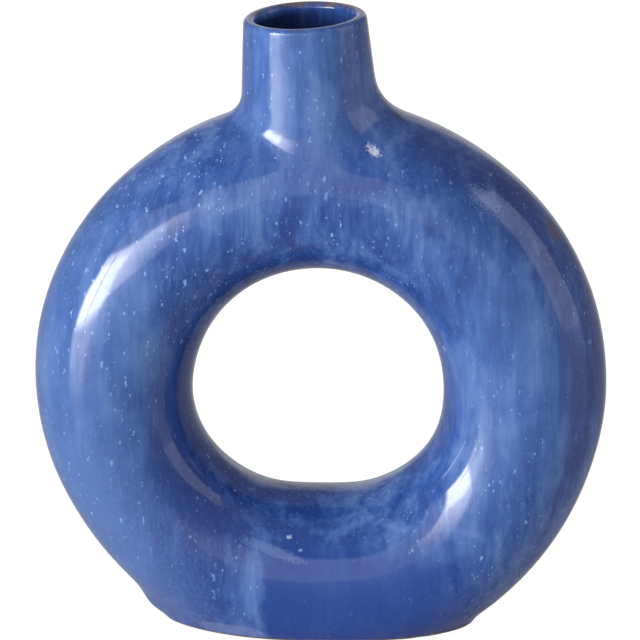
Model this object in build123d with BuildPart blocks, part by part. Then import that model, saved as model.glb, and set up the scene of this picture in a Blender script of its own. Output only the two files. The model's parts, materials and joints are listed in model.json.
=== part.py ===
"""A donut vase: a hollow ring of glazed stoneware that stands on a low oval foot, with a short neck on top.

It is four pieces, luted together with slip while the clay is soft and fired as one: a front and a back half of the
ring, which meet on the ring's middle plane, a neck that sits on the ring's collar, and a shallow foot dish below.
A half of the ring is one piece of clay, and is modelled here as arcs that meet end to end, face against face.
The glaze is melted on to the clay, so its thickness is part of each wall.
The ring stands upright in the XZ plane and the front faces -Y. The origin is on the table, under the ring's centre.
"""

from build123d import *
import math
import os

# Ring
ring_diameter = 226.0
hole_diameter = 96.0
ring_cut_by_foot = 11.6  # how much of the ring's circle the table line cuts away
ring_wall = 5.6
ring_arc_angle = 45.0  # degrees of the ring in one modelled arc

# Neck, which leans a little to the left, as a hand-set one does
mouth_diameter = 38.6
neck_height = 35.7  # lip above the top of the ring
neck_offset = -2.9
neck_lean = 2.5  # degrees
lip_wall = 4.25
root_wall = 7.4
lip_rounding = 1.9
root_fillet = 8.0
collar_height = 2.0  # the joint under the neck, above the top of the ring
throat_fillet = 3.0

# Foot
foot_length = 120.0
foot_width = 44.0
foot_end_draft = 28.0  # degrees; the wall leans outwards as it rises
foot_side_draft = 10.0
foot_joint_height = 11.0
foot_fillet = 4.0
foot_edge_rounding = 3.0
foot_recess = 1.6
foot_rim = 7.0
base_thickness = 6.5

overrun = 5.0

ring_radius = ring_diameter / 2
hole_radius = hole_diameter / 2
tube_radius = (ring_radius - hole_radius) / 2
centre_line_radius = hole_radius + tube_radius
ring_centre_height = ring_radius - ring_cut_by_foot
bore_radius = mouth_diameter / 2
lip_radius = bore_radius + lip_wall
root_radius = bore_radius + root_wall

ring_axis = Axis((0, 0, ring_centre_height), (0, 1, 0))
lean = math.radians(neck_lean)
neck_plane = Plane(
    origin=(neck_offset, 0, ring_centre_height + ring_radius),
    x_dir=(math.cos(lean), 0, math.sin(lean)),
    z_dir=(-math.sin(lean), 0, math.cos(lean)),
)
neck_axis = Axis(neck_plane.origin, neck_plane.z_dir)
neck_profile_plane = Plane(origin=neck_plane.origin, x_dir=neck_plane.x_dir, z_dir=(0, -1, 0))
collar_joint = neck_plane.offset(collar_height)
foot_joint = Plane.XY.offset(foot_joint_height)
middle_joint = Plane.XZ
# Planes through the ring's axis, the first half an arc from the neck and the others an arc apart
arc_joint_turns = [math.radians((count + 1 / 2) * ring_arc_angle) for count in range(round(180 / ring_arc_angle))]
arc_joints = [
    Plane(origin=(0, 0, ring_centre_height), x_dir=(0, 1, 0), z_dir=(math.cos(turn), 0, math.sin(turn)))
    for turn in arc_joint_turns
]


def half_ring(radius):
    """The front half of a solid ring about the ring's axis, with a round section of the given radius."""
    with BuildPart() as ring:
        with BuildSketch(Plane.XY.offset(ring_centre_height)):
            with BuildLine():
                CenterArc((centre_line_radius, 0), radius, 180, 180)
                Line((centre_line_radius - radius, 0), (centre_line_radius + radius, 0))
            make_face()
        revolve(axis=ring_axis)
    return ring.part


def half_foot():
    """The front half of the foot, which widens upwards until the ring takes over, and runs on below the table."""
    end_slope = math.tan(math.radians(foot_end_draft))
    side_slope = math.tan(math.radians(foot_side_draft))
    half_length = foot_length / 2
    # The end wall meets the ring where a line of that slope crosses the ring's circle
    steepness = 1 + end_slope**2
    reach = ring_centre_height - half_length * end_slope
    power = half_length**2 + ring_centre_height**2 - ring_radius**2
    meeting_height = (reach - math.sqrt(reach**2 - steepness * power)) / steepness
    with BuildPart() as foot_block:
        for height in (-ring_cut_by_foot - overrun, meeting_height + overrun):
            with BuildSketch(Plane.XY.offset(height)):
                Ellipse(foot_width / 2 + height * side_slope, half_length + height * end_slope, rotation=90)
        loft()
        split(bisect_by=middle_joint, keep=Keep.TOP)
    return foot_block.part


def cut_into_arcs():
    """Cuts the ring half that is being built into its arcs, which stay in place, face to face."""
    for joint in arc_joints:
        split(bisect_by=joint, keep=Keep.BOTH)


# The front half of the vase without its hollow
with BuildPart() as outside:
    add(half_ring(tube_radius))
    add(half_foot())
    foot_root = outside.edges().filter_by(GeomType.BSPLINE).sort_by(SortBy.LENGTH)[-1]
    fillet(foot_root, radius=foot_fillet)
    split(bisect_by=Plane.XY, keep=Keep.TOP)
    bottom_edges = outside.edges().group_by(Axis.Z)[0].filter_by(GeomType.LINE, reverse=True)
    fillet(bottom_edges, radius=foot_edge_rounding)
    taper = (root_wall - lip_wall) / neck_height
    with BuildSketch(neck_profile_plane):
        with BuildLine():
            Polyline(
                (lip_radius - lip_rounding, neck_height),
                (0, neck_height),
                (0, -tube_radius),
                (root_radius + taper * tube_radius, -tube_radius),
                (lip_radius, neck_height - lip_rounding),
            )
            RadiusArc(
                (lip_radius, neck_height - lip_rounding),
                (lip_radius - lip_rounding, neck_height),
                -lip_rounding,
            )
        make_face()
    revolve(axis=neck_axis, revolution_arc=-180)
    neck_root = outside.edges().filter_by(GeomType.BSPLINE).sort_by(Axis.Z)[-1]
    fillet(neck_root, radius=root_fillet)

# The front half of the hollow: the ring's inside, flat at the floor, and a bore that flares over the lip
with BuildPart() as hollow:
    add(half_ring(tube_radius - ring_wall))
    split(bisect_by=Plane.XY.offset(base_thickness), keep=Keep.TOP)
    with BuildSketch(neck_profile_plane):
        with BuildLine():
            Polyline(
                (bore_radius, neck_height - lip_rounding),
                (bore_radius, -tube_radius),
                (0, -tube_radius),
                (0, neck_height + overrun),
                (bore_radius + lip_rounding, neck_height + overrun),
                (bore_radius + lip_rounding, neck_height),
            )
            RadiusArc(
                (bore_radius + lip_rounding, neck_height),
                (bore_radius, neck_height - lip_rounding),
                -lip_rounding,
            )
        make_face()
    revolve(axis=neck_axis, revolution_arc=-180)
    throat = hollow.edges().filter_by(GeomType.BSPLINE).sort_by(Axis.Z)[-1]
    fillet(throat, radius=throat_fillet)

with BuildPart() as front_clay:
    add(outside)
    add(hollow, mode=Mode.SUBTRACT)

os.makedirs("parts", exist_ok=True)

with BuildPart() as front_ring_clay:
    add(front_clay)
    split(bisect_by=foot_joint, keep=Keep.TOP)
    split(bisect_by=collar_joint, keep=Keep.BOTTOM)

with BuildPart() as ring_front:
    add(front_ring_clay)
    cut_into_arcs()
ring_front.part.label = "ring_front"
export_step(ring_front.part, "parts/ring_front.step")

with BuildPart() as ring_back:
    mirror(front_ring_clay.part, about=middle_joint)
    cut_into_arcs()
ring_back.part.label = "ring_back"
export_step(ring_back.part, "parts/ring_back.step")

with BuildPart() as neck:
    add(front_clay)
    split(bisect_by=collar_joint, keep=Keep.TOP)
    mirror(about=middle_joint)
neck.part.label = "neck"
export_step(neck.part, "parts/neck.step")

# The foot's underside is hollowed a little, so that it stands on a rim
with BuildPart() as foot:
    add(front_clay)
    split(bisect_by=foot_joint, keep=Keep.BOTTOM)
    mirror(about=middle_joint)
    with BuildSketch():
        Ellipse(foot_width / 2 - foot_rim, foot_length / 2 - foot_rim, rotation=90)
    extrude(amount=foot_recess, mode=Mode.SUBTRACT)
foot.part.label = "foot"
export_step(foot.part, "parts/foot.step")
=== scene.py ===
"""The looks of a donut vase: an upright ring of streaked blue glaze with a short neck, on a low oval foot.

Two pieces stand for the four solids of the frame. One glazed body has the ring, the neck, the mouth and the
hollow inside, because the glaze runs unbroken over the joints. The bare clay foot shows under the glaze line.
All lengths are in metres, and the vase stands in the XZ plane with its front towards -Y.
"""

import json
import logging
import math
from dataclasses import dataclass
from enum import Enum
from typing import Callable

import bmesh
import bpy
import numpy as np
from mathutils import Matrix, Vector

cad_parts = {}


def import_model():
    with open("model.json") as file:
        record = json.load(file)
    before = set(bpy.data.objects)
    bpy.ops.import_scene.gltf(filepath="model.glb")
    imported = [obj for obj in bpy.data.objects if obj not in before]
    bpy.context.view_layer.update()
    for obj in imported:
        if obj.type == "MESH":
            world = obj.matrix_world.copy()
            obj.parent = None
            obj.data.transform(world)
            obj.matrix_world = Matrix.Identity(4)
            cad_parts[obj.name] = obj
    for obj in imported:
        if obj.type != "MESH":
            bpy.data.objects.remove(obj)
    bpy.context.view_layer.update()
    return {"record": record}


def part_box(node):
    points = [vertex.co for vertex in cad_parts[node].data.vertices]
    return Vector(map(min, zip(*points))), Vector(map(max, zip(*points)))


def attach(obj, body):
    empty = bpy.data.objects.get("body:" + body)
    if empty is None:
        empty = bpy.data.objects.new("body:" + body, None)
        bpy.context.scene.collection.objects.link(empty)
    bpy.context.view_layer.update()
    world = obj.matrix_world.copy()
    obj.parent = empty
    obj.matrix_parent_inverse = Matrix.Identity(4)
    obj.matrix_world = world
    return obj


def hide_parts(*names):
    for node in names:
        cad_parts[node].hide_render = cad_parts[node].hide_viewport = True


LOG = logging.getLogger("donut_vase")
MM = 0.001
TOLERANCE = 0.01 * MM
CREASE_ANGLE = 40.0

Pair = tuple[float, float]
Triple = tuple[float, float, float]
Socket = bpy.types.NodeSocket


class Kind(Enum):
    """The kinds of mesh element that can be picked."""

    VERT = "verts"
    EDGE = "edges"
    FACE = "faces"


def smooth_min(a: np.ndarray, b: np.ndarray, width: np.ndarray | float) -> np.ndarray:
    """Joins two distance fields with a soft hollow where they meet.

    Args:
        a: distances to the first form.
        b: distances to the second form.
        width: how far the hollow reaches along each form.

    Returns:
        The distances to the joined form.
    """
    reach = np.maximum(width - np.abs(a - b), 0.0) / width
    return np.minimum(a, b) - reach * reach * width / 4.0


def smooth_step(value: np.ndarray, low: float, high: float) -> np.ndarray:
    """Rises softly from 0 at low to 1 at high.

    Args:
        value: the values to ease.
        low: where the rise starts.
        high: where it ends.

    Returns:
        Values from 0 to 1.
    """
    share = np.clip((value - low) / (high - low), 0.0, 1.0)
    return share * share * (3.0 - 2.0 * share)


@dataclass
class VaseForm:
    """The vase's outer and inner form as distance fields, with its sizes in metres.

    A pair of sizes has the value at the left and the value at the right.
    """

    ring_radius: float
    bore_radius: float
    neck_lean: float
    tube_radius: float = 32.5 * MM
    ring_cut_by_foot: float = 11.6 * MM
    ring_wall: float = 5.6 * MM
    neck_offset: float = -2.9 * MM
    neck_height: float = 35.7 * MM
    lip_wall: float = 4.25 * MM
    root_wall: float = 7.4 * MM
    lip_rounding: float = 1.9 * MM
    root_hollow: Pair = (7.0 * MM, 12.0 * MM)
    root_hollow_front_share: float = 0.5
    root_front_start_share: float = 0.25
    throat_hollow: float = 3.5 * MM
    foot_half_length: float = 60.0 * MM
    foot_half_width: float = 22.0 * MM
    foot_end_slope: float = math.tan(math.radians(28.0))
    foot_side_slope: float = math.tan(math.radians(10.0))
    foot_hollow: Pair = (7.0 * MM, 3.0 * MM)
    foot_reach: Pair = (1.4 * MM, 1.0 * MM)
    foot_power: Pair = (2.0, 2.3)
    foot_lump: Triple = (-66.0 * MM, -6.0 * MM, 10.0 * MM)
    foot_lump_height: float = 2.2 * MM
    foot_lump_width: float = 7.0 * MM
    base_rounding: Pair = (2.2 * MM, 1.2 * MM)
    seat_height: float = 2.0 * MM
    floor_height: float = 6.5 * MM
    probe: float = 0.02 * MM
    settle_rounds: int = 12
    settle_share: float = 0.9
    least_slope: float = 0.05
    hand_grip: float = 12.0
    hand_shape: tuple[Triple, ...] = (
        (0.0, 2.4, 0.2),
        (30.0, 0.9, 0.9),
        (60.0, 1.3, 1.0),
        (90.0, 0.4, 1.2),
        (120.0, 0.1, 3.6),
        (150.0, 4.2, 0.4),
        (180.0, 0.0, -4.6),
        (210.0, 0.4, 0.4),
        (235.0, -2.8, 3.4),
        (260.0, -0.8, 2.8),
        (290.0, 0.2, 0.8),
        (325.0, -0.6, 0.6),
        (346.0, 2.6, 0.4),
    )

    @classmethod
    def from_frame(cls, record: dict) -> "VaseForm":
        """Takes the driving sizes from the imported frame.

        Args:
            record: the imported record, which holds the mouth's mount.

        Returns:
            The form at the frame's size.
        """
        mouth = next(mount for mount in record["mounts"] if mount["name"] == "mouth")
        return cls(
            ring_radius=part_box("ring_front")[1].x,
            bore_radius=mouth["dims"]["r_mm"] * MM,
            neck_lean=-math.asin(mouth["axis"][0]),
        )

    @property
    def centre_line(self) -> float:
        """The radius of the circle that the tube follows."""
        return self.ring_radius - self.tube_radius

    @property
    def centre_height(self) -> float:
        """The height of the ring's centre over the table."""
        return self.ring_radius - self.ring_cut_by_foot

    @property
    def neck_root(self) -> np.ndarray:
        """The point on the neck's axis level with the top of the ring."""
        return np.array([self.neck_offset, 0.0, self.centre_height + self.ring_radius])

    @property
    def neck_axis(self) -> np.ndarray:
        """The neck's own upward direction."""
        return np.array([-math.sin(self.neck_lean), 0.0, math.cos(self.neck_lean)])

    def foot_shrunk_by(self, inset: float) -> Triple:
        """The shares of the foot's length, width and height that set its outline back by an inset."""
        return 1.0 - inset / self.foot_half_length, 1.0 - inset / self.foot_half_width, 1.0

    def neck_wall_radius(self, height: np.ndarray | float) -> np.ndarray | float:
        """The outer radius of the neck at a height over its root."""
        taper = (self.root_wall - self.lip_wall) / self.neck_height
        return self.bore_radius + self.root_wall - taper * height

    def neck_place(self, points: np.ndarray) -> tuple[np.ndarray, np.ndarray]:
        """Gives points their place about the neck.

        Args:
            points: an array of points.

        Returns:
            Their heights along the neck's axis and their distances from it.
        """
        offset = points - self.neck_root
        height = offset @ self.neck_axis
        across = np.linalg.norm(offset - height[:, None] * self.neck_axis, axis=1)
        return height, across

    def left_to_right(self, points: np.ndarray, pair: Pair, reach: float) -> np.ndarray:
        """Turns softly from a pair's left value to its right one, over a reach on both sides of the middle."""
        left, right = pair
        return left + (right - left) * smooth_step(points[:, 0], -reach, reach)

    def by_hand(self, points: np.ndarray) -> tuple[np.ndarray, np.ndarray]:
        """Says how far the hand-shaped ring leaves a true one, from hand_shape.

        Each row there is an angle from the top towards the right in degrees, and how many millimetres the ring's
        outside and its hole lie further out at that angle.

        Args:
            points: an array of points.

        Returns:
            How far out the tube's centre lies, and how much thicker the tube is.
        """
        angle = np.arctan2(points[:, 0], points[:, 2] - self.centre_height)
        turns, outside, inside = np.array(self.hand_shape).T
        weight = np.exp(self.hand_grip * (np.cos(angle[:, None] - np.radians(turns)) - 1.0))
        weight /= weight.sum(axis=1)[:, None]
        outside, inside = weight @ outside * MM, weight @ inside * MM
        return (outside + inside) / 2.0, (outside - inside) / 2.0

    def tube(self, points: np.ndarray, radius: float) -> np.ndarray:
        """Distances to the hand-shaped ring with a tube of the given radius."""
        shift, thicker = self.by_hand(points)
        around = np.hypot(points[:, 0], points[:, 2] - self.centre_height) - self.centre_line - shift
        return np.hypot(around / (radius + thicker), points[:, 1] / radius) * radius - radius

    def foot(self, points: np.ndarray) -> np.ndarray:
        """Distances to the foot, an oval cone that widens upwards and is a little squarer at its right end."""
        reach = self.left_to_right(points, self.foot_reach, self.centre_line / 2)
        power = self.left_to_right(points, self.foot_power, self.centre_line / 2)
        along = np.abs(points[:, 0]) / (self.foot_half_length + reach + points[:, 2] * self.foot_end_slope)
        across = np.abs(points[:, 1]) / (self.foot_half_width + points[:, 2] * self.foot_side_slope)
        share = np.maximum(along**power + across**power, 1.0e-9) ** (1.0 / power)
        slope_along = along ** (power - 1.0) / self.foot_half_length
        slope_across = across ** (power - 1.0) / self.foot_half_width
        wall = (share - 1.0) * share ** (power - 1.0) / np.maximum(np.hypot(slope_along, slope_across), 1.0)
        block_height = 2.0 * self.ring_cut_by_foot
        return np.maximum(wall, points[:, 2] - block_height)

    def outside(self, points: np.ndarray) -> np.ndarray:
        """Distances to the outer form: ring, neck and foot, with soft hollows between them."""
        height, across = self.neck_place(points)
        neck = np.maximum(across - self.neck_wall_radius(height), -height - self.tube_radius)
        root_hollow = self.left_to_right(points, self.root_hollow, self.bore_radius)
        front = smooth_step(-points[:, 1], self.root_front_start_share * self.bore_radius, self.bore_radius)
        root_hollow *= 1.0 - (1.0 - self.root_hollow_front_share) * front
        foot_hollow = self.left_to_right(points, self.foot_hollow, self.centre_line / 2)
        joined = smooth_min(self.tube(points, self.tube_radius), neck, root_hollow)
        joined = smooth_min(joined, self.foot(points), foot_hollow)
        from_lump = np.linalg.norm(points - np.array(self.foot_lump), axis=1) / self.foot_lump_width
        joined = joined - self.foot_lump_height * np.exp(-from_lump * from_lump)
        rounding = self.left_to_right(points, self.base_rounding, self.centre_line / 2)
        return -smooth_min(-joined, points[:, 2], rounding)

    def ring_hollow(self, points: np.ndarray) -> np.ndarray:
        """Distances to the hollow in the ring."""
        return self.tube(points, self.tube_radius - self.ring_wall)

    def inside(self, points: np.ndarray) -> np.ndarray:
        """Distances to the hollow in the ring and the bore, with a soft throat between them."""
        height, across = self.neck_place(points)
        bore = np.maximum(across - self.bore_radius, -height - self.tube_radius)
        return smooth_min(self.ring_hollow(points), bore, self.throat_hollow)

    def settle(self, points: np.ndarray, field: Callable, level: bool = False) -> np.ndarray:
        """Moves points on to the surface where a distance field is zero.

        Args:
            points: an array of points near the surface.
            field: the distance field.
            level: whether points keep their height.

        Returns:
            The moved points.
        """
        step = self.probe
        moved = points.copy()
        for _ in range(self.settle_rounds):
            value = field(moved)
            rises = [field(moved + step * axis) - field(moved - step * axis) for axis in np.eye(3)]
            slope = np.stack(rises, axis=1) / (2 * step)
            if level:
                slope[:, 2] = 0.0
            steep = np.maximum((slope * slope).sum(axis=1), self.least_slope)
            moved -= self.settle_share * (value / steep)[:, None] * slope
        return moved


class Bench:
    """Where one mesh is worked on: it picks elements by place and runs the mesh operators on them."""

    def __init__(self, piece: bpy.types.Object) -> None:
        """Takes the piece that is worked on."""
        self.piece = piece

    @staticmethod
    def clear() -> None:
        """Leaves edit mode and deselects everything."""
        if bpy.context.object and bpy.context.object.mode != "OBJECT":
            bpy.ops.object.mode_set(mode="OBJECT")
        bpy.ops.object.select_all(action="DESELECT")

    @classmethod
    def adopt(cls, name: str) -> "Bench":
        """Names the primitive that was just added and puts its place in its mesh.

        Args:
            name: the piece's name.

        Returns:
            A bench with the piece on it.
        """
        piece = bpy.context.object
        piece.name = name
        piece.data.name = name
        bpy.ops.object.transform_apply(location=True, rotation=True, scale=True)
        return cls(piece)

    def choose(self) -> None:
        """Selects the piece alone and makes it the active one."""
        self.clear()
        self.piece.select_set(True)
        bpy.context.view_layer.objects.active = self.piece

    def edit(self) -> None:
        """Opens the piece in edit mode."""
        self.choose()
        bpy.ops.object.mode_set(mode="EDIT")

    def pick(self, kind: Kind, test: Callable) -> None:
        """Selects the elements that pass a test and nothing else.

        Args:
            kind: which elements are tested.
            test: a function of one element that says whether it is wanted.
        """
        bpy.ops.mesh.select_mode(type=kind.name)
        bpy.ops.mesh.select_all(action="DESELECT")
        mesh = bmesh.from_edit_mesh(self.piece.data)
        for element in [element for element in getattr(mesh, kind.value) if test(element)]:
            element.select_set(True)
        mesh.select_flush_mode()
        bmesh.update_edit_mesh(self.piece.data)

    def cut_away(self, test: Callable) -> None:
        """Deletes the faces whose centre passes a test."""
        self.pick(Kind.FACE, lambda face: test(face.calc_center_median()))
        bpy.ops.mesh.delete(type="FACE")

    def bridge(self, test: Callable, cuts: int) -> None:
        """Joins two open edge loops with rows of faces and leaves edit mode.

        Args:
            test: says of a point whether an open edge there belongs to the loops.
            cuts: how many loops are cut into the bridge.
        """
        def open_edge(edge: bmesh.types.BMEdge) -> bool:
            return len(edge.link_faces) < 2 and test((edge.verts[0].co + edge.verts[1].co) / 2)

        self.edit()
        self.pick(Kind.EDGE, open_edge)
        bpy.ops.mesh.bridge_edge_loops(number_cuts=cuts, interpolation="LINEAR")
        self.clear()

    def join(self, other: "Bench") -> None:
        """Takes another piece's mesh into this one."""
        self.choose()
        other.piece.select_set(True)
        bpy.ops.object.join()

    def points(self) -> np.ndarray:
        """The piece's vertices as an array."""
        flat = np.empty(len(self.piece.data.vertices) * 3)
        self.piece.data.vertices.foreach_get("co", flat)
        return flat.reshape(-1, 3)

    def place(self, points: np.ndarray) -> None:
        """Writes moved vertices back."""
        self.piece.data.vertices.foreach_set("co", points.ravel())
        self.piece.data.update()

    def apply(self, kind: str, **settings: object) -> None:
        """Adds a modifier, sets it and applies it.

        Args:
            kind: the modifier's type.
            **settings: its values by name.
        """
        self.choose()
        modifier = self.piece.modifiers.new(kind.lower(), kind)
        for name, value in settings.items():
            setattr(modifier, name, value)
        bpy.ops.object.modifier_apply(modifier=modifier.name)

    def face_outwards(self) -> None:
        """Merges doubles and turns all faces outwards."""
        self.edit()
        bpy.ops.mesh.select_all(action="SELECT")
        bpy.ops.mesh.remove_doubles(threshold=TOLERANCE)
        bpy.ops.mesh.normals_make_consistent(inside=False)
        self.clear()


@dataclass
class GlazedBody:
    """The ring, the neck and the hollow inside as one closed skin of glaze.

    An opening is given by how many segments it takes on each side of its middle, around the ring and across the
    tube.
    """

    form: VaseForm
    segments_around: int = 256
    segments_across: int = 96
    neck_opening: tuple[int, int] = (14, 20)
    foot_opening: tuple[int, int] = (28, 16)
    hollow_segments_around: int = 192
    hollow_segments_across: int = 72
    bore_opening: tuple[int, int] = (7, 10)
    neck_columns: int = 136
    neck_rows: int = 12
    lip_rows: int = 7
    bore_rows: int = 16
    root_rows: int = 14
    foot_rows: int = 12
    foot_wall_share: float = 2.5
    foot_relax_rounds: int = 3
    root_relax_rounds: int = 4
    relax_factor: float = 0.5
    relax_repeats: int = 3
    neck_start: float = 16.0 * MM
    bore_end: float = -2.0 * MM
    throat_start: float = -3.0 * MM
    throat_reach: float = 6.0 * MM
    glaze_line: float = 1.1 * MM
    edge_roll: float = 0.15 * MM
    edge_width: float = 0.9 * MM
    seat_inset: float = 0.5 * MM
    swell_height: float = 1.2 * MM
    swell_length: float = 60.0 * MM
    swell_start: float = 3.0 * MM
    swell_full: float = 14.0 * MM

    def ring_angles(self, point: Vector) -> Pair:
        """Gives a point's place on the ring.

        Args:
            point: a point near the ring.

        Returns:
            Its angle round the ring from the top, and its angle round the tube from the outside.
        """
        over = point.z - self.form.centre_height
        out = math.hypot(point.x, over) - self.form.centre_line
        return math.atan2(point.x, over), math.atan2(point.y, out)

    def torus(self, name: str, radius: float, around: int, across: int) -> Bench:
        """Adds a ring that stands in the XZ plane."""
        Bench.clear()
        bpy.ops.mesh.primitive_torus_add(
            major_segments=around,
            minor_segments=across,
            major_radius=self.form.centre_line,
            minor_radius=radius,
            location=(0.0, 0.0, self.form.centre_height),
            rotation=(math.pi / 2, 0.0, 0.0),
        )
        return Bench.adopt(name)

    def cut_opening(self, ring: Bench, segments: tuple[int, int], opening: tuple[int, int],
                    middle: float) -> None:
        """Cuts an opening into a ring that is open for editing.

        Args:
            ring: the ring.
            segments: how many segments it has around and across.
            opening: how many the opening takes on each side of its middle.
            middle: the angle of the opening's middle from the top.
        """
        half_around, half_across = (math.tau * taken / whole for taken, whole in zip(opening, segments))

        def in_opening(point: Vector) -> bool:
            angle, turn = self.ring_angles(point)
            return abs(math.remainder(angle - middle, math.tau)) < half_around and abs(turn) < half_across

        ring.cut_away(in_opening)

    def shell(self) -> Bench:
        """Makes the ring's outside with its wall down to the glaze line and an opening for the neck."""
        form = self.form
        segments = (self.segments_around, self.segments_across)
        body = self.torus("glazed_body", form.tube_radius, *segments)
        body.edit()
        self.cut_opening(body, segments, self.neck_opening, -math.tau / self.segments_around)
        self.cut_opening(body, segments, self.foot_opening, math.pi)
        columns = 4 * sum(self.foot_opening)
        bpy.ops.mesh.primitive_circle_add(vertices=columns, radius=1.0, location=(0.0, 0.0, self.glaze_line))
        bpy.ops.transform.resize(
            value=(form.foot_half_length, form.foot_half_width, 1.0),
            center_override=(0.0, 0.0, self.glaze_line),
        )
        body.bridge(lambda point: point.z < form.centre_height / 2, cuts=self.foot_rows)
        return body

    def neck_profile(self) -> list[Pair]:
        """Lists the neck's loops, up the outside, over the lip and down the bore.

        Returns:
            A radius and a height over the neck's root for each loop.
        """
        form = self.form
        outer_top = form.neck_height - form.lip_rounding
        outer_centre = form.neck_wall_radius(outer_top) - form.lip_rounding
        inner_centre = form.bore_radius + form.lip_rounding
        loops = []
        for share in np.linspace(0.0, 1.0, self.neck_rows):
            height = self.neck_start + (outer_top - self.neck_start) * share
            loops.append((form.neck_wall_radius(height), height))
        quarter = np.linspace(0.0, math.pi / 2, self.lip_rows)
        for centre, turns in ((outer_centre, quarter[1:]), (inner_centre, quarter + math.pi / 2)):
            for turn in turns:
                out, up = form.lip_rounding * math.cos(turn), form.lip_rounding * math.sin(turn)
                loops.append((centre + out, outer_top + up))
        for share in np.linspace(0.0, 1.0, self.bore_rows)[1:]:
            loops.append((form.bore_radius, outer_top + (self.bore_end - outer_top) * share))
        return loops

    def neck(self) -> Bench:
        """Raises the neck loop by loop from a circle round its axis."""
        form = self.form
        (radius, height), *loops = self.neck_profile()
        Bench.clear()
        bpy.ops.mesh.primitive_circle_add(
            vertices=self.neck_columns,
            radius=radius,
            location=tuple(form.neck_root + form.neck_axis * height),
            rotation=(0.0, -form.neck_lean, 0.0),
        )
        bench = Bench.adopt("neck_wall")
        bench.edit()
        bpy.ops.mesh.select_all(action="SELECT")
        for next_radius, next_height in loops:
            rise = form.neck_axis * (next_height - height)
            bpy.ops.mesh.extrude_edges_move(TRANSFORM_OT_translate={"value": tuple(rise)})
            bpy.ops.transform.resize(
                value=(next_radius / radius,) * 3,
                center_override=tuple(form.neck_root + form.neck_axis * next_height),
            )
            radius, height = next_radius, next_height
        bench.clear()
        return bench

    def hollow(self) -> Bench:
        """Makes the hollow's wall with an opening under the bore."""
        form = self.form
        segments = (self.hollow_segments_around, self.hollow_segments_across)
        bench = self.torus("hollow", form.tube_radius - form.ring_wall, *segments)
        bench.edit()
        self.cut_opening(bench, segments, self.bore_opening, -math.tau / self.hollow_segments_around)
        bpy.ops.mesh.select_all(action="SELECT")
        bpy.ops.mesh.flip_normals()
        bench.clear()
        points = form.settle(bench.points(), form.ring_hollow)
        points[:, 2] = np.maximum(points[:, 2], form.floor_height)
        bench.place(points)
        return bench

    def put_on(self, field: Callable, body: Bench, chosen: np.ndarray, level: bool = False) -> None:
        """Moves a piece's chosen vertices on to a form."""
        points = body.points()
        points[chosen] = self.form.settle(points[chosen], field, level)
        body.place(points)

    def relax(self, body: Bench, chosen: np.ndarray, field: Callable, rounds: int) -> None:
        """Evens out chosen vertices and puts them back on the form.

        Args:
            body: the piece.
            chosen: a flag for each vertex.
            field: the distance field of the form.
            rounds: how often this is done.
        """
        for _ in range(rounds):
            body.edit()
            body.pick(Kind.VERT, lambda vertex: chosen[vertex.index])
            bpy.ops.mesh.vertices_smooth(factor=self.relax_factor, repeat=self.relax_repeats)
            body.clear()
            self.put_on(field, body, chosen)

    def settle_shell(self, body: Bench) -> None:
        """Puts the ring's outside on the form and evens out the wall over the foot."""
        form = self.form
        points = body.points()
        rim = np.isclose(points[:, 2], self.glaze_line, atol=TOLERANCE / 10)
        rim &= np.abs(points[:, 1]) < form.tube_radius
        self.put_on(form.outside, body, rim, level=True)
        self.put_on(form.outside, body, ~rim)
        foot_wall = (body.points()[:, 2] < self.foot_wall_share * form.ring_cut_by_foot) & ~rim
        self.relax(body, foot_wall, form.outside, self.foot_relax_rounds)

    def settle_root(self, body: Bench) -> None:
        """Puts the neck's root on the form and evens it out."""
        form = self.form
        height, across = form.neck_place(body.points())
        root = (height < self.neck_start - MM) & (across > form.bore_radius + form.lip_wall / 2)
        root &= (across < form.ring_radius / 2) & (height > -form.ring_radius / 2)
        self.put_on(form.outside, body, root)
        self.relax(body, root, form.outside, self.root_relax_rounds)

    def settle_throat(self, body: Bench) -> None:
        """Puts the wall where the bore opens into the ring on the form."""
        form = self.form
        height, across = form.neck_place(body.points())
        throat = (height < self.throat_start) & (across < form.bore_radius + self.throat_reach)
        throat &= height > -form.tube_radius
        self.put_on(form.inside, body, throat)

    def build(self) -> bpy.types.Object:
        """Builds the closed skin.

        Returns:
            The finished object.
        """
        body = self.shell()
        self.settle_shell(body)
        LOG.info("ring wall: %d vertices", len(body.piece.data.vertices))
        body.join(self.neck())
        body.bridge(lambda point: self.over_centre(point) and self.off_bore(point), cuts=self.root_rows)
        self.settle_root(body)
        LOG.info("neck: %d vertices", len(body.piece.data.vertices))
        body.join(self.hollow())
        body.bridge(self.over_centre, cuts=0)
        self.settle_throat(body)
        self.close_underside(body)
        body.face_outwards()
        self.shape_by_hand(body)
        ThinGlazeAndPaintedShade(self.form, self.glaze_line).mark(body)
        LOG.info("hollow: %d vertices", len(body.piece.data.vertices))
        return body.piece

    def over_centre(self, point: Vector) -> bool:
        """Whether a point is higher than the ring's centre."""
        return point.z > self.form.centre_height

    def off_bore(self, point: Vector) -> bool:
        """Whether a point is further out than the bore's wall."""
        _, across = self.form.neck_place(np.array([tuple(point)]))
        return across[0] > self.form.bore_radius + self.form.lip_wall / 2

    def close_underside(self, body: Bench) -> None:
        """Turns the glaze's lower edge in and closes the skin with the flat seat that the foot carries."""
        body.edit()
        body.pick(Kind.EDGE, lambda edge: len(edge.link_faces) < 2)
        to_seat = self.form.seat_height - self.glaze_line - self.edge_roll
        for rise, inset in ((self.edge_roll, self.edge_width), (to_seat, self.seat_inset)):
            bpy.ops.mesh.extrude_edges_move(TRANSFORM_OT_translate={"value": (0.0, 0.0, rise)})
            bpy.ops.transform.resize(value=self.form.foot_shrunk_by(inset), center_override=(0.0, 0.0, 0.0))
        bpy.ops.mesh.edge_face_add()
        body.clear()

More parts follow.
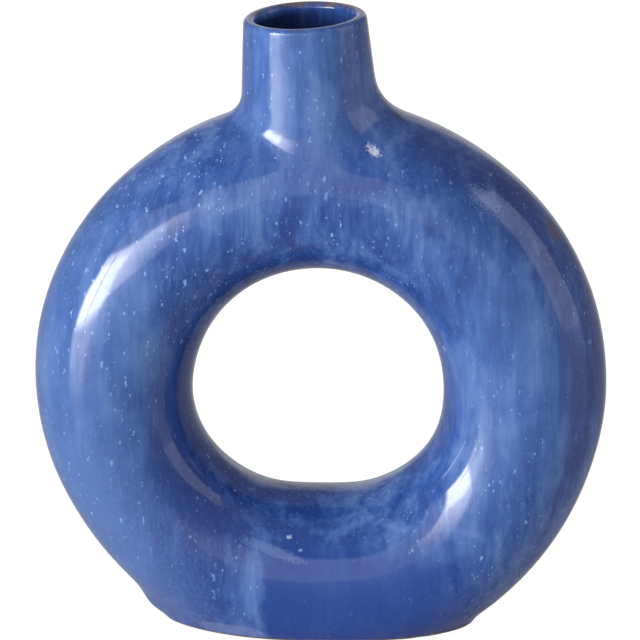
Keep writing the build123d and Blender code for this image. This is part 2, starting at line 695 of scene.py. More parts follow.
    def shape_by_hand(self, body: Bench) -> None:
        """Gives the skin the slight swells of a hand-finished pot, but not at its seat."""
        points = body.points()
        free = body.piece.vertex_groups.new(name="free_of_seat")
        for index, share in enumerate(smooth_step(points[:, 2], self.swell_start, self.swell_full)):
            free.add([index], float(share), "REPLACE")
        swell = bpy.data.textures.new("hand_swell", "CLOUDS")
        swell.noise_scale = self.swell_length
        swell.noise_depth = 1
        body.apply("DISPLACE", texture=swell, texture_coords="LOCAL", strength=self.swell_height,
                   mid_level=0.5, vertex_group=free.name)
        body.piece.vertex_groups.clear()


@dataclass
class ThinGlazeAndPaintedShade:
    """Where the glaze has run thin: on the lip, along the ring's seam and at the glaze line.

    It also says how deep the painted shade on the inside is.
    """

    form: VaseForm
    glaze_line: float
    lip_depth: float = 3.2 * MM
    lip_front: float = 0.45
    lip_back: float = 0.85
    lip_strength: float = 0.75
    seam_core: float = 0.4 * MM
    seam_reach: float = 3.0 * MM
    seam_start_share: float = 0.8
    seam_strength: float = 0.62
    line_reach: float = 1.6 * MM
    line_strength: float = 0.9
    wall_start: float = 1.5 * MM
    wall_full: float = 3.5 * MM
    bore_top: float = 4.0 * MM
    unlit_left: float = 1.25

    def lip(self, points: np.ndarray, height: np.ndarray, across: np.ndarray) -> np.ndarray:
        """How thin it is on the lip, most at the back."""
        form = self.form
        thin = smooth_step(height, form.neck_height - self.lip_depth, form.neck_height)
        thin *= across < form.ring_radius / 3
        to_back = smooth_step(points[:, 1], -form.bore_radius, form.bore_radius)
        return thin * (self.lip_front + (self.lip_back - self.lip_front) * to_back)

    def seam(self, points: np.ndarray, height: np.ndarray, across: np.ndarray) -> np.ndarray:
        """How thin it is along the ring's outer seam."""
        form = self.form
        out = np.hypot(points[:, 0], points[:, 2] - form.centre_height)
        thin = 1.0 - smooth_step(np.abs(points[:, 1]), self.seam_core, self.seam_reach)
        outermost = out > form.centre_line + self.seam_start_share * form.tube_radius
        return thin * (outermost & (across > form.neck_wall_radius(height)))

    def unlit(self, points: np.ndarray, height: np.ndarray) -> np.ndarray:
        """How strong the painted shade is at a point inside the vase, most at the left."""
        form = self.form
        walls = smooth_step(-form.outside(points), self.wall_start, self.wall_full)
        walls *= height < form.neck_height - self.bore_top
        to_right = smooth_step(points[:, 0], -form.bore_radius, form.bore_radius)
        return walls * self.unlit_left * (1.0 - to_right)

    def mark(self, body: Bench) -> None:
        """Writes the thin glaze and the painted shade as values at each vertex."""
        points = body.points()
        height, across = self.form.neck_place(points)
        line = 1.0 - smooth_step(points[:, 2], self.glaze_line, self.glaze_line + self.line_reach)
        thin = np.maximum.reduce([
            self.lip_strength * self.lip(points, height, across),
            self.seam_strength * self.seam(points, height, across),
            self.line_strength * line,
        ])
        for name, values in (("thin_glaze", thin), ("inner_wall", self.unlit(points, height))):
            body.piece.data.attributes.new(name, "FLOAT", "POINT").data.foreach_set("value", values)


@dataclass
class BareFoot:
    """The unglazed foot that shows under the glaze line: a low rim round a shallow recess."""

    form: VaseForm
    columns: int = 176
    set_back: float = 1.0 * MM
    edge_rounding: float = 0.8 * MM
    edge_shares: tuple[Pair, ...] = ((0.0, 1.0), (0.45, 0.3), (1.0, 0.0))
    rim_width: float = 7.0 * MM
    recess_depth: float = 1.6 * MM
    recess_rounding: float = 0.6 * MM

    def build(self) -> bpy.types.Object:
        """Builds the foot from the seat down to the rim and up into the recess.

        The rim's edge has a loop for each of edge_shares, which says how far in and how high it stands.

        Returns:
            The finished object.
        """
        form = self.form
        Bench.clear()
        bpy.ops.mesh.primitive_circle_add(
            vertices=self.columns, radius=1.0, fill_type="NGON", location=(0.0, 0.0, form.seat_height))
        foot = Bench.adopt("bare_foot")
        foot.edit()
        bpy.ops.mesh.select_all(action="SELECT")
        bpy.ops.transform.resize(value=(form.foot_half_length, form.foot_half_width, 1.0),
                                 center_override=(0.0, 0.0, form.seat_height))
        heights = [form.seat_height] + [share * self.edge_rounding for _, share in self.edge_shares]
        for last, height in zip(heights, heights[1:]):
            bpy.ops.mesh.extrude_region_move(TRANSFORM_OT_translate={"value": (0.0, 0.0, height - last)})
        foot.clear()
        points = foot.points()
        for height, inset in zip(heights, (0.0, *(inset for inset, _ in self.edge_shares))):
            loop = np.isclose(points[:, 2], height, atol=TOLERANCE)
            back = self.set_back + inset * self.edge_rounding

            def set_back_wall(place: np.ndarray) -> np.ndarray:
                return form.outside(place + self.lift(place)) + back

            points[loop] = form.settle(points[loop], set_back_wall, level=True)
        foot.place(points)
        foot.edit()
        foot.pick(Kind.FACE, lambda face: abs(face.calc_center_median().z) < TOLERANCE and len(face.verts) > 4)
        rounding = self.recess_rounding
        wall = self.recess_depth - rounding
        steps = ((0.0, self.rim_width), (rounding / 2, rounding), (wall, rounding / 2), (rounding / 2, rounding))
        for rise, inset in steps:
            bpy.ops.mesh.extrude_region_move(TRANSFORM_OT_translate={"value": (0.0, 0.0, rise)})
            bpy.ops.transform.resize(value=form.foot_shrunk_by(inset), center_override=(0.0, 0.0, 0.0))
        foot.face_outwards()
        return foot.piece

    def lift(self, points: np.ndarray) -> np.ndarray:
        """Raises points to the glaze line, where the form's outline is taken."""
        raised = np.zeros_like(points)
        raised[:, 2] = np.maximum(self.form.seat_height - points[:, 2], 0.0)
        return raised


@dataclass(frozen=True)
class Pattern:
    """A cloudy pattern.

    Its scale is in lumps a metre along each axis, detail counts its finer layers, bend says how far it bends
    itself, and weight says how much it counts in a sum.
    """

    scale: Triple
    detail: float = 2.0
    bend: float = 0.0
    weight: float = 1.0


class Nodes:
    """A material's or the world's node tree, with short ways to add nodes and wire them up."""

    def __init__(self, owner: bpy.types.Material | bpy.types.World, place: str = "Object") -> None:
        """Empties the owner's node tree.

        Args:
            owner: the material or the world.
            place: which coordinates its patterns read.
        """
        self.owner = owner
        owner.use_nodes = True
        self.tree = owner.node_tree
        self.tree.nodes.clear()
        self.place = self.add("ShaderNodeTexCoord").outputs[place]

    def add(self, kind: str, inputs: dict | None = None, **settings: object) -> bpy.types.Node:
        """Adds a node.

        Args:
            kind: the node's type name.
            inputs: values or sockets for its inputs, by name or number.
            **settings: its properties by name.

        Returns:
            The node.
        """
        node = self.tree.nodes.new(kind)
        for name, value in settings.items():
            setattr(node, name, value)
        for name, value in (inputs or {}).items():
            if isinstance(value, Socket):
                self.tree.links.new(value, node.inputs[name])
            else:
                node.inputs[name].default_value = value
        return node

    def stretched(self, place: Socket, scale: Triple) -> Socket:
        """Coordinates stretched by a factor along each axis."""
        return self.add("ShaderNodeMapping", {"Vector": place, "Scale": scale}).outputs["Vector"]

    def axes(self) -> bpy.types.bpy_prop_collection:
        """The coordinates' X, Y and Z."""
        return self.add("ShaderNodeSeparateXYZ", {"Vector": self.place}).outputs

    def noise(self, pattern: Pattern) -> Socket:
        """Draws a cloudy pattern, with values about 0.5."""
        return self.add("ShaderNodeTexNoise", {
            "Vector": self.stretched(self.place, pattern.scale),
            "Scale": 1.0,
            "Detail": pattern.detail,
            "Distortion": pattern.bend,
        }).outputs["Fac"]

    def waver(self, pattern: Pattern, height: float) -> Socket:
        """A pattern that varies by a height to both sides of 0."""
        return self.maths("MULTIPLY_ADD", self.noise(pattern), 2.0 * height, -height)

    def summed(self, *patterns: Pattern) -> Socket:
        """Adds patterns up by their weights."""
        total = 0.0
        for pattern in patterns:
            total = self.maths("MULTIPLY_ADD", self.noise(pattern), pattern.weight, total)
        return total

    def length(self, place: Socket) -> Socket:
        """The distance of coordinates from their origin."""
        return self.add("ShaderNodeVectorMath", {0: place}, operation="LENGTH").outputs["Value"]

    def remap(self, value: Socket, low: float, high: float, to_low: float = 0.0,
              to_high: float = 1.0) -> Socket:
        """Eases a value from one range to another and holds it there."""
        return self.add(
            "ShaderNodeMapRange",
            {"Value": value, "From Min": low, "From Max": high, "To Min": to_low, "To Max": to_high},
            interpolation_type="SMOOTHSTEP",
        ).outputs["Result"]

    def maths(self, step: str, *values: object) -> Socket:
        """One step of arithmetic on sockets and numbers."""
        return self.add("ShaderNodeMath", dict(enumerate(values)), operation=step).outputs[0]

    def mixed(self, share: Socket, first: object, second: object) -> Socket:
        """Mixes two colours by a share of the second."""
        colours = [value if isinstance(value, Socket) else (*value, 1.0) for value in (first, second)]
        return self.add("ShaderNodeMix", dict(zip((0, 6, 7), (share, *colours))), data_type="RGBA").outputs[2]

    def attribute(self, name: str) -> Socket:
        """A value that the mesh carries at each vertex."""
        return self.add("ShaderNodeAttribute", attribute_name=name).outputs["Fac"]

    def finish(self, inputs: dict) -> bpy.types.Material:
        """Adds the surface shader.

        Args:
            inputs: values or sockets for its inputs by name.

        Returns:
            The material.
        """
        shader = self.add("ShaderNodeBsdfPrincipled", inputs)
        self.add("ShaderNodeOutputMaterial", {"Surface": shader.outputs["BSDF"]})
        return self.owner


@dataclass(frozen=True)
class Mark:
    """An oval place drawn in another colour: a tone or flaw of the glaze, painted light, painted shade or a
    painted glint. Its lengths are in millimetres.

    Its tilt is in degrees, anticlockwise as seen from the front.
    """

    place: Triple
    length: float
    width: float
    tilt: float
    colour: Triple
    strength: float
    ragged: float = 0.0
    softness: float = 0.3
    depth: float = 24.0


@dataclass(frozen=True)
class Crack:
    """A hair crack along an arc on the ring's front.

    It has an angle from the top in degrees and a radius in millimetres at both ends. It is full over a core share
    of its half width, and fades in and out over taper degrees on both sides of its ends.
    """

    start_angle: float
    end_angle: float
    start_radius: float
    end_radius: float
    colour: Triple
    half_width: float = 0.15
    core: float = 0.4
    taper: float = 1.0


@dataclass(frozen=True)
class SpeckSize:
    """One size of speck.

    Its cell is in metres. Reach is its radius as a share of the cell, keep the share of cells that have one, tail
    how much longer than wide it is, and strength how well it covers.
    """

    cell: float
    reach: float
    keep: float
    tail: float
    strength: float


@dataclass(frozen=True)
class BlueGlaze:
    """A glossy flowing glaze: mid blue with dark and milky clouds, runs and pale specks, brown where it breaks,
    with painted light, painted shade and painted glints in places.

    A pair of levels says between which values of a pattern a change begins and is complete.
    """

    ring_centre: float
    deep: Triple = (0.022, 0.058, 0.252)
    body: Triple = (0.042, 0.108, 0.368)
    milky: Triple = (0.118, 0.205, 0.480)
    poured: Triple = (0.016, 0.056, 0.290)
    speck: Triple = (0.27, 0.43, 0.76)
    brown: Triple = (0.135, 0.108, 0.108)
    # the colour of the painted shade on the inner walls
    unlit: Triple = (0.010, 0.022, 0.075)
    roughness: float = 0.09
    broken_roughness: float = 0.4
    refraction: float = 1.5
    clouds: Pattern = Pattern((13.0, 13.0, 10.0), 3.0, 0.5, 0.34)
    mottle: Pattern = Pattern((62.0, 62.0, 46.0), 4.0, 0.8, 0.26)
    runs: Pattern = Pattern((110.0, 110.0, 14.0), 3.0, 0.6, 0.26)
    streaks: Pattern = Pattern((500.0, 500.0, 60.0), 3.0, 0.4, 0.14)
    grain: Pattern = Pattern((1100.0, 1100.0, 700.0), 3.0)
    dashes: Pattern = Pattern((700.0, 700.0, 170.0), 2.0)
    crowding: Pattern = Pattern((24.0, 24.0, 20.0), 3.0)
    fraying: Pattern = Pattern((160.0, 160.0, 90.0), 4.0)
    wave: Pattern = Pattern((70.0, 70.0, 70.0), 2.0)
    wander: Pattern = Pattern((90.0, 90.0, 90.0), 3.0)
    swell: Pattern = Pattern((55.0, 55.0, 40.0), 1.0)
    body_levels: Pair = (0.43, 0.53)
    milky_levels: Pair = (0.49, 0.62)
    crowding_levels: Pair = (0.38, 0.60)
    speck_levels: Pair = (0.71, 0.85)
    dash_levels: Pair = (0.54, 0.72)
    broken_levels: Pair = (0.88, 1.30)
    pour_cover: float = 0.85
    pour_specks: float = 0.12
    fewest_specks: float = 0.25
    speck_cover: float = 0.85
    dash_cover: float = 0.38
    crack_cover: float = 0.75
    unlit_cover: float = 0.75
    speck_edge: float = 0.7
    blob_weight: float = 0.34
    warp_lumps: float = 1.7
    warp_detail: float = 4.0
    wave_height: float = 8.0 * MM
    wander_height: float = 1.5 * MM
    swell_height: float = 0.3 * MM
    pit_depth: float = 0.03 * MM
    pit_strength: float = 0.5
    pour_left: Pair = (-22.0 * MM, -18.5 * MM)
    pour_right: Pair = (40.0 * MM, 78.0 * MM)
    pour_top: Pair = (34.0 * MM, 48.0 * MM)
    pour_front: float = -6.0 * MM
    crack_front: Pair = (-16.0 * MM, -12.0 * MM)
    speck_sizes: tuple[SpeckSize, ...] = (
        SpeckSize(1.4 * MM, 0.50, 0.62, 2.2, 0.8),
        SpeckSize(3.0 * MM, 0.38, 0.72, 2.5, 1.0),
    )
    tones_and_painted_light: tuple[Mark, ...] = (
        # partly paler glaze, partly painted light: the left side made paler where the key light falls and its
        # reflection hazes
        Mark((-95.0, -20.0, 105.0), 190.0, 60.0, 84.0, (0.085, 0.172, 0.440), 0.50, 0.6, 0.7, 80.0),
        # painted reflection: the key softbox's reflection drawn on down the lower left
        Mark((-78.0, -24.0, 42.0), 100.0, 38.0, -60.0, (0.125, 0.210, 0.470), 0.55, 1.2, 0.8, 60.0),
        Mark((76.0, -26.0, 112.0), 100.0, 56.0, 96.0, (0.085, 0.170, 0.440), 0.35, 0.6, 0.7, 40.0),
        Mark((-6.0, -22.0, 236.0), 66.0, 60.0, 90.0, (0.085, 0.170, 0.440), 0.4, 0.6, 0.6, 60.0),
        # painted shade: a dark band under the neck's root, where the glaze mirrors the dark room
        Mark((2.0, -20.0, 196.0), 80.0, 22.0, 0.0, (0.022, 0.066, 0.290), 0.6, 0.6, 0.8, 40.0),
        # painted shade: a dark band along the left edge of the ring's hole, a painted dark reflection
        Mark((-52.0, -24.0, 104.0), 90.0, 26.0, 80.0, (0.020, 0.060, 0.250), 0.5, 0.6, 0.7, 60.0),
        # partly darker glaze, partly painted shade on the right shoulder, which faces away from the light
        Mark((66.0, -21.0, 187.0), 60.0, 28.0, -42.0, (0.018, 0.048, 0.200), 0.45, 1.5, 0.8),
        Mark((-27.0, -30.0, 24.0), 40.0, 12.0, 84.0, (0.110, 0.200, 0.520), 0.30, 1.2, 0.8),
    )
    flaws_and_painted_glints: tuple[Mark, ...] = (
        Mark((-34.0, -24.0, 3.6), 30.0, 8.0, -5.0, (0.170, 0.220, 0.450), 0.5, 0.5, 0.15),
        Mark((-17.0, -28.0, 40.3), 23.0, 3.6, -20.0, (0.200, 0.290, 0.560), 0.45, 1.8, 0.4),
        Mark((66.0, -21.0, 183.2), 14.0, 5.0, -37.0, (0.240, 0.340, 0.600), 0.40, 3.2, 0.4),
        Mark((91.6, -4.1, 167.2), 9.0, 3.2, -55.0, (0.110, 0.090, 0.085), 0.75, 3.5, 0.4),
        Mark((30.5, -2.0, 211.0), 4.6, 4.0, -27.0, (0.015, 0.016, 0.022), 0.9, 2.0, 0.3, 7.0),
        # painted highlight: a ragged glint on the shoulder right of the neck
        Mark((22.8, -22.9, 203.1), 4.6, 2.0, -30.0, (0.740, 0.790, 0.900), 0.75, 4.0, 0.7, 12.0),
        # painted highlights: two small glints in pits low on the front
        Mark((-10.8, -22.9, 44.9), 1.8, 1.2, 0.0, (0.600, 0.680, 0.850), 0.6, 3.0, 0.5),
        Mark((-6.7, -26.3, 40.4), 1.4, 1.0, 0.0, (0.450, 0.550, 0.800), 0.45, 3.0, 0.5),
    )
    cracks: tuple[Crack, ...] = (
        Crack(-82.0, -49.0, 93.6, 97.3, (0.020, 0.030, 0.080)),
        Crack(103.0, 118.0, 66.0, 64.2, (0.020, 0.030, 0.080)),
        Crack(105.0, 123.0, 60.4, 58.4, (0.270, 0.360, 0.650)),
    )

    def specks(self, nodes: Nodes, grain: Socket, speck: SpeckSize) -> Socket:
        """Makes pale ragged specks that the glaze has drawn out downwards.

        Args:
            nodes: the glaze's node tree.
            grain: the fine pattern that breaks the specks up.
            speck: their size.

        Returns:
            The specks' strength on a speck and 0 beside it.
        """
        cell = speck.cell
        warp = nodes.add("ShaderNodeTexNoise", {
            "Vector": nodes.place, "Scale": self.warp_lumps / cell, "Detail": self.warp_detail})
        bent = nodes.add("ShaderNodeVectorMath", {
            0: warp.outputs["Color"], 1: (cell, cell, cell), 2: nodes.place}, operation="MULTIPLY_ADD")
        scaled = nodes.stretched(bent.outputs[0], (1.0 / cell, 1.0 / cell, 1.0 / (cell * speck.tail)))
        cells = nodes.add("ShaderNodeTexVoronoi", {"Vector": scaled, "Scale": 1.0})
        pick = nodes.add("ShaderNodeSeparateColor", {"Color": cells.outputs["Color"]}).outputs
        radius = nodes.remap(pick["Red"], 1.0 - speck.keep, 1.0, 0.0, speck.reach)
        edge = self.speck_edge * speck.reach
        blob = nodes.remap(nodes.maths("SUBTRACT", radius, cells.outputs["Distance"]), 0.0, edge)
        shown = nodes.remap(nodes.maths("MULTIPLY_ADD", blob, self.blob_weight, grain), *self.speck_levels)
        return nodes.maths("MULTIPLY", shown, speck.strength)

    def pour(self, nodes: Nodes) -> Socket:
        """Marks the low part of the front where a second pour covers the specks, with a wavy edge.

        Args:
            nodes: the glaze's node tree.

        Returns:
            1 under the second pour and 0 beside it.
        """
        axes = nodes.axes()
        wave = nodes.waver(self.wave, self.wave_height)
        across = nodes.maths("ADD", axes["X"], wave)
        left = nodes.remap(across, *self.pour_left)
        right = nodes.remap(across, *self.pour_right, 1.0, 0.0)
        top = nodes.remap(nodes.maths("ADD", axes["Z"], wave), *self.pour_top, 1.0, 0.0)
        front = nodes.remap(axes["Y"], self.pour_front, 0.0, 1.0, 0.0)
        beside = nodes.maths("MULTIPLY", left, right)
        return nodes.maths("MULTIPLY", beside, nodes.maths("MULTIPLY", top, front))

    def oval(self, nodes: Nodes, grain: Socket, mark: Mark) -> Socket:
        """Marks one oval place.

        Args:
            nodes: the glaze's node tree.
            grain: the fine pattern that frays its edge.
            mark: the place.

        Returns:
            The mark's strength in the oval and 0 outside it.
        """
        local = nodes.add("ShaderNodeMapping", {
            "Vector": nodes.place,
            "Location": tuple(length * MM for length in mark.place),
            "Rotation": (0.0, -math.radians(mark.tilt), 0.0),
            "Scale": (mark.length / 2 * MM, mark.depth / 2 * MM, mark.width / 2 * MM),
        }, vector_type="TEXTURE")
        away = nodes.length(local.outputs["Vector"])
        frayed = nodes.maths("MULTIPLY_ADD", nodes.maths("SUBTRACT", grain, 0.5), mark.ragged, away)
        return nodes.remap(frayed, 1.0 - mark.softness, 1.0 + mark.softness, mark.strength, 0.0)

    def hair(self, nodes: Nodes, angle: Socket, radius: Socket,
             crack: Crack) -> Socket:
        """Marks one hair crack.

        Args:
            nodes: the glaze's node tree.
            angle: each point's angle from the top of the ring in degrees.
            radius: its distance from the ring's centre, varied a little so that the crack wanders.
            crack: the crack.

        Returns:
            1 on the crack and 0 beside it.
        """
        slope = (crack.end_radius - crack.start_radius) / (crack.end_angle - crack.start_angle)
        at_top = crack.start_radius - slope * crack.start_angle
        line = nodes.maths("MULTIPLY_ADD", angle, slope * MM, at_top * MM)
        beside = nodes.maths("ABSOLUTE", nodes.maths("SUBTRACT", radius, line))
        edge = crack.half_width * MM
        on_line = nodes.remap(beside, crack.core * edge, edge, 1.0, 0.0)
        begun = nodes.remap(angle, crack.start_angle - crack.taper, crack.start_angle + crack.taper)
        ended = nodes.remap(angle, crack.end_angle - crack.taper, crack.end_angle + crack.taper, 1.0, 0.0)
        return nodes.maths("MULTIPLY", on_line, nodes.maths("MULTIPLY", begun, ended))

    def cracked(self, nodes: Nodes,
                colour: Socket) -> tuple[Socket, Socket]:
        """Draws the hair cracks on the ring's front.

        Args:
            nodes: the glaze's node tree.
            colour: the glaze's colour without them.

        Returns:
            The colour with them, and 1 where a crack is.
        """
        axes = nodes.axes()
        over = nodes.maths("SUBTRACT", axes["Z"], self.ring_centre)
        angle = nodes.maths("DEGREES", nodes.maths("ARCTAN2", axes["X"], over))
        square = nodes.maths("MULTIPLY_ADD", over, over, nodes.maths("MULTIPLY", axes["X"], axes["X"]))
        out = nodes.maths("POWER", square, 0.5)
        radius = nodes.maths("ADD", out, nodes.waver(self.wander, self.wander_height))
        front = nodes.remap(axes["Y"], *self.crack_front, 1.0, 0.0)
        anywhere = 0.0
        for crack in self.cracks:
            shown = nodes.maths("MULTIPLY", self.hair(nodes, angle, radius, crack), front)
            colour = nodes.mixed(nodes.maths("MULTIPLY", shown, self.crack_cover), colour, crack.colour)
            anywhere = nodes.maths("MAXIMUM", shown, anywhere)
        return colour, anywhere

    def speckled(self, nodes: Nodes, grain: Socket, poured: Socket,
                 colour: Socket) -> tuple[Socket, Socket]:
        """Sprinkles the specks and fine milky dashes over the glaze.

        Args:
            nodes: the glaze's node tree.
            grain: the fine pattern that breaks the specks up.
            poured: where the second pour covers most of them.
            colour: the glaze's colour without them.

        Returns:
            The colour with them, and how strong the specks are.
        """
        crowding = nodes.remap(nodes.noise(self.crowding), *self.crowding_levels, self.fewest_specks, 1.0)
        crowding = nodes.maths("MULTIPLY", crowding, nodes.remap(poured, 0.0, 1.0, 1.0, self.pour_specks))
        fine, coarse = (self.specks(nodes, grain, speck) for speck in self.speck_sizes)
        specks = nodes.maths("MULTIPLY", nodes.maths("MAXIMUM", fine, coarse), crowding)
        colour = nodes.mixed(nodes.maths("MULTIPLY", specks, self.speck_cover), colour, self.speck)
        dashes = nodes.remap(nodes.noise(self.dashes), *self.dash_levels, 0.0, self.dash_cover)
        return nodes.mixed(nodes.maths("MULTIPLY", dashes, crowding), colour, self.milky), specks

    def material(self) -> bpy.types.Material:
        """Builds the glaze's node tree."""
        nodes = Nodes(bpy.data.materials.new("blue_glaze"))
        grain = nodes.noise(self.grain)
        tone = nodes.summed(self.runs, self.clouds, self.mottle, self.streaks)
        poured = self.pour(nodes)
        colour = nodes.mixed(nodes.remap(tone, *self.body_levels), self.deep, self.body)
        colour = nodes.mixed(nodes.remap(tone, *self.milky_levels), colour, self.milky)
        # tones of the glaze, with painted light and painted shade among them
        for area in self.tones_and_painted_light:
            colour = nodes.mixed(self.oval(nodes, grain, area), colour, area.colour)
        colour = nodes.mixed(nodes.maths("MULTIPLY", poured, self.pour_cover), colour, self.poured)
        colour, specks = self.speckled(nodes, grain, poured, colour)
        # flaws of the glaze, with painted glints among them
        for mark in self.flaws_and_painted_glints:
            colour = nodes.mixed(self.oval(nodes, grain, mark), colour, mark.colour)
        colour, cracks = self.cracked(nodes, colour)
        thin = nodes.maths("ADD", nodes.attribute("thin_glaze"), nodes.noise(self.fraying))
        broken = nodes.remap(thin, *self.broken_levels)
        colour = nodes.mixed(broken, colour, self.brown)
        # painted shade: the inner walls darkened, most at the left
        shaded = nodes.maths("MULTIPLY", nodes.attribute("inner_wall"), self.unlit_cover)
        colour = nodes.mixed(shaded, colour, self.unlit)
        ripple = nodes.add("ShaderNodeBump", {
            "Height": nodes.noise(self.swell), "Strength": 1.0, "Distance": self.swell_height})
        pitted = nodes.add("ShaderNodeBump", {
            "Height": specks,
            "Strength": self.pit_strength,
            "Distance": self.pit_depth,
            "Normal": ripple.outputs["Normal"],
        })
        dulled = nodes.maths("MAXIMUM", broken, cracks)
        return nodes.finish({
            "Base Color": colour,
            "Roughness": nodes.remap(dulled, 0.0, 1.0, self.roughness, self.broken_roughness),
            "IOR": self.refraction,
            "Normal": pitted.outputs["Normal"],
        })


@dataclass(frozen=True)
class BareClay:
    """Fired stoneware clay with no glaze on it, toasted in places and a little gritty."""

    light: Triple = (0.56, 0.44, 0.32)
    dark: Triple = (0.34, 0.24, 0.16)
    roughness: float = 0.85
    toast: Pattern = Pattern((45.0, 45.0, 45.0), 4.0, 0.4, 0.65)
    grit: Pattern = Pattern((1400.0, 1400.0, 1400.0), 2.0, 0.0, 0.35)
    toast_levels: Pair = (0.38, 0.64)
    grit_height: float = 0.08 * MM
    grit_strength: float = 0.6

    def material(self) -> bpy.types.Material:
        """Builds the clay's node tree."""
        nodes = Nodes(bpy.data.materials.new("bare_clay"))
        grit = nodes.noise(self.grit)
        toast = nodes.maths("MULTIPLY", nodes.noise(self.toast), self.toast.weight)
        tone = nodes.maths("MULTIPLY_ADD", grit, self.grit.weight, toast)
        rough = nodes.add("ShaderNodeBump", {
            "Height": grit, "Strength": self.grit_strength, "Distance": self.grit_height})
        return nodes.finish({
            "Base Color": nodes.mixed(nodes.remap(tone, *self.toast_levels), self.light, self.dark),
            "Roughness": self.roughness,
            "Normal": rough.outputs["Normal"],
        })


@dataclass(frozen=True)
class Panel:
    """A soft bright patch of the room, given by bearings and heights from the vase in degrees.

    A bearing is 0 to the front and 90 to the right. The patch's edges are soft by edge, and it may dim over the
    last soft_right degrees towards its right.
    """

    left: float
    right: float
    low: float
    high: float
    strength: float
    edge: float = 2.0
    soft_right: float = 0.0


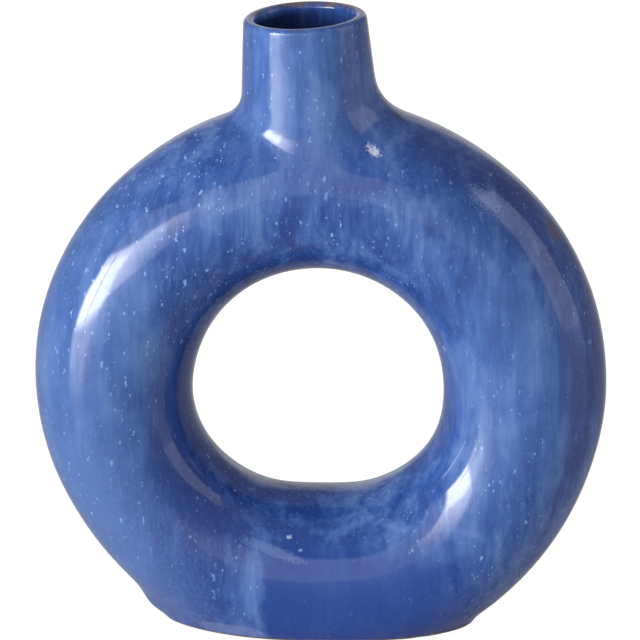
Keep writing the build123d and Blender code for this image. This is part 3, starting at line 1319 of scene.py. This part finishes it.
@dataclass
class Studio:
    """The floor, the camera, the key lamp and the room that the glaze mirrors."""

    form: VaseForm
    pitch: float = 19.33
    yaw: float = 2.90
    roll: float = -0.42
    distance: float = 1.5248
    lens: float = 216.68
    sensor: float = 36.0
    farthest: float = 20.0
    ring_in_frame: Pair = (-0.4 * MM, -24.23 * MM)
    key_bearing: float = -55.0
    key_height: float = 6.0
    key_distance: float = 1.8
    key_size: Pair = (0.70, 0.50)
    key_watts: float = 7.5
    room: float = 0.29
    floor_size: float = 12.0
    floor_colour: tuple[float, float, float, float] = (0.6, 0.6, 0.6, 1.0)
    floor_roughness: float = 0.3
    floor_refraction: float = 1.8
    floor_white: float = 1.36
    floor_white_share: float = 0.7
    mirrored_floor_share: float = 0.1
    white: tuple[float, float, float, float] = (1.0, 1.0, 1.0, 1.0)
    panels: tuple[Panel, ...] = (
        Panel(-66.0, 34.0, -30.0, 29.0, 1.15, 1.2, 30.0),
        Panel(-67.0, -16.0, -30.0, 16.0, 12.0, 1.2, 38.0),
        Panel(66.0, 100.0, -12.0, 42.0, 1.0, 1.0),
        Panel(158.0, 180.0, -20.0, 32.0, 0.55, 6.0),
        Panel(-180.0, -158.0, -20.0, 32.0, 0.55, 6.0),
    )

    @property
    def centre(self) -> Vector:
        """The ring's centre."""
        return Vector((0.0, 0.0, self.form.centre_height))

    @staticmethod
    def towards(bearing: float, height: float) -> Vector:
        """The direction from the vase at a bearing from the front and a height over level, both in degrees."""
        turn, rise = math.radians(bearing), math.radians(height)
        return Vector((math.sin(turn) * math.cos(rise), -math.cos(turn) * math.cos(rise), math.sin(rise)))

    def camera(self) -> None:
        """Places the camera at the photograph's angle."""
        yaw = math.radians(self.yaw)
        back = self.towards(self.yaw, self.pitch)
        right = Vector((math.cos(yaw), math.sin(yaw), 0.0))
        up = back.cross(right)
        roll = math.radians(self.roll)
        right, up = right * math.cos(roll) + up * math.sin(roll), up * math.cos(roll) - right * math.sin(roll)
        eye = self.centre + back * self.distance
        aim = self.centre - right * self.ring_in_frame[0] - up * self.ring_in_frame[1]
        Bench.clear()
        bpy.ops.object.camera_add(location=eye)
        camera = bpy.context.object
        ahead = (aim - eye).normalized()
        right = ahead.cross(up).normalized()
        turned = Matrix((right, right.cross(ahead), -ahead)).transposed()
        camera.rotation_euler = turned.to_euler()
        camera.data.lens = self.lens
        camera.data.sensor_width = self.sensor
        camera.data.clip_end = self.farthest
        bpy.context.scene.camera = camera

    def key_lamp(self) -> None:
        """Hangs the key softbox to the left of the front."""
        out = self.towards(self.key_bearing, self.key_height)
        Bench.clear()
        bpy.ops.object.light_add(type="AREA", location=self.centre + out * self.key_distance)
        lamp = bpy.context.object
        lamp.name = "key_softbox"
        lamp.rotation_euler = out.to_track_quat("Z", "Y").to_euler()
        lamp.data.shape = "RECTANGLE"
        lamp.data.size, lamp.data.size_y = self.key_size
        lamp.data.energy = self.key_watts

    def floor(self) -> None:
        """Lays the pale satin floor, which keeps the vase's shadow."""
        Bench.clear()
        bpy.ops.mesh.primitive_plane_add(size=self.floor_size)
        floor = bpy.context.object
        floor.name = "studio_floor"
        nodes = Nodes(bpy.data.materials.new("studio_floor"))
        path = nodes.add("ShaderNodeLightPath").outputs
        bounced = nodes.maths("MAXIMUM", path["Is Glossy Ray"], path["Is Transmission Ray"])
        mirrored = nodes.maths("MULTIPLY", bounced, self.mirrored_floor_share)
        seen = nodes.maths("MAXIMUM", path["Is Camera Ray"], mirrored)
        satin = nodes.add("ShaderNodeBsdfPrincipled", {
            "Base Color": self.floor_colour, "Roughness": self.floor_roughness, "IOR": self.floor_refraction})
        white = nodes.add("ShaderNodeEmission", {"Color": self.white, "Strength": self.floor_white})
        share = nodes.maths("MULTIPLY", seen, self.floor_white_share)
        mixed = nodes.add("ShaderNodeMixShader", {0: share, 1: satin.outputs[0], 2: white.outputs[0]})
        nodes.add("ShaderNodeOutputMaterial", {"Surface": mixed.outputs[0]})
        floor.data.materials.append(nodes.owner)

    def world(self) -> None:
        """Lights the room: white to the camera, and grey with soft panels to everything else."""
        world = bpy.data.worlds.new("studio_room")
        bpy.context.scene.world = world
        nodes = Nodes(world, "Generated")
        axes = nodes.axes()
        front = nodes.maths("MULTIPLY", axes["Y"], -1.0)
        bearing = nodes.maths("DEGREES", nodes.maths("ARCTAN2", axes["X"], front))
        height = nodes.maths("DEGREES", nodes.maths("ARCSINE", axes["Z"]))
        light = self.room
        for panel in self.panels:
            across = self.band(nodes, bearing, panel.left, panel.right, panel.edge, panel.soft_right)
            upwards = self.band(nodes, height, panel.low, panel.high, panel.edge)
            inside = nodes.maths("MULTIPLY", across, upwards)
            light = nodes.maths("MULTIPLY_ADD", inside, panel.strength, light)
        room = nodes.add("ShaderNodeBackground", {"Color": self.white, "Strength": light})
        white = nodes.add("ShaderNodeBackground", {"Color": self.white, "Strength": 1.0})
        seen = nodes.add("ShaderNodeLightPath").outputs["Is Camera Ray"]
        mixed = nodes.add("ShaderNodeMixShader", {0: seen, 1: room.outputs[0], 2: white.outputs[0]})
        nodes.add("ShaderNodeOutputWorld", {"Surface": mixed.outputs[0]})

    def band(self, nodes: Nodes, value: Socket, low: float, high: float, edge: float,
             soft_high: float = 0.0) -> Socket:
        """1 between two angles and 0 outside them, with soft edges, the higher one softer by soft_high."""
        rising = nodes.remap(value, low - edge, low + edge)
        falling = nodes.remap(value, high - edge - soft_high, high + edge, 1.0, 0.0)
        return nodes.maths("MULTIPLY", rising, falling)

    def build(self) -> None:
        """Sets up everything round the vase."""
        self.floor()
        self.key_lamp()
        self.camera()
        self.world()
        bpy.context.scene.view_settings.view_transform = "Standard"


def hand_over(piece: bpy.types.Object, material: bpy.types.Material, slot: str, *nodes: str) -> None:
    """Finishes a piece and ties it to the frame.

    Args:
        piece: the piece.
        material: its finish.
        slot: not used.
        *nodes: the solids that it stands for.
    """
    Bench(piece).choose()
    bpy.ops.object.shade_smooth_by_angle(angle=math.radians(CREASE_ANGLE))
    piece.data.materials.append(material)
    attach(piece, "root")
    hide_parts(*nodes)
    LOG.info("%s: %d faces, for %s", piece.name, len(piece.data.polygons), ", ".join(nodes))


def main() -> None:
    """Builds the vase and its studio."""
    logging.basicConfig(level=logging.INFO, format="%(name)s: %(message)s")
    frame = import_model()
    form = VaseForm.from_frame(frame["record"])
    glaze = BlueGlaze(form.centre_height).material()
    hand_over(GlazedBody(form).build(), glaze, "glaze", "ring_front", "ring_back", "neck")
    hand_over(BareFoot(form).build(), BareClay().material(), "bare_clay", "foot")
    Studio(form).build()


if __name__ == "__main__":
    main()
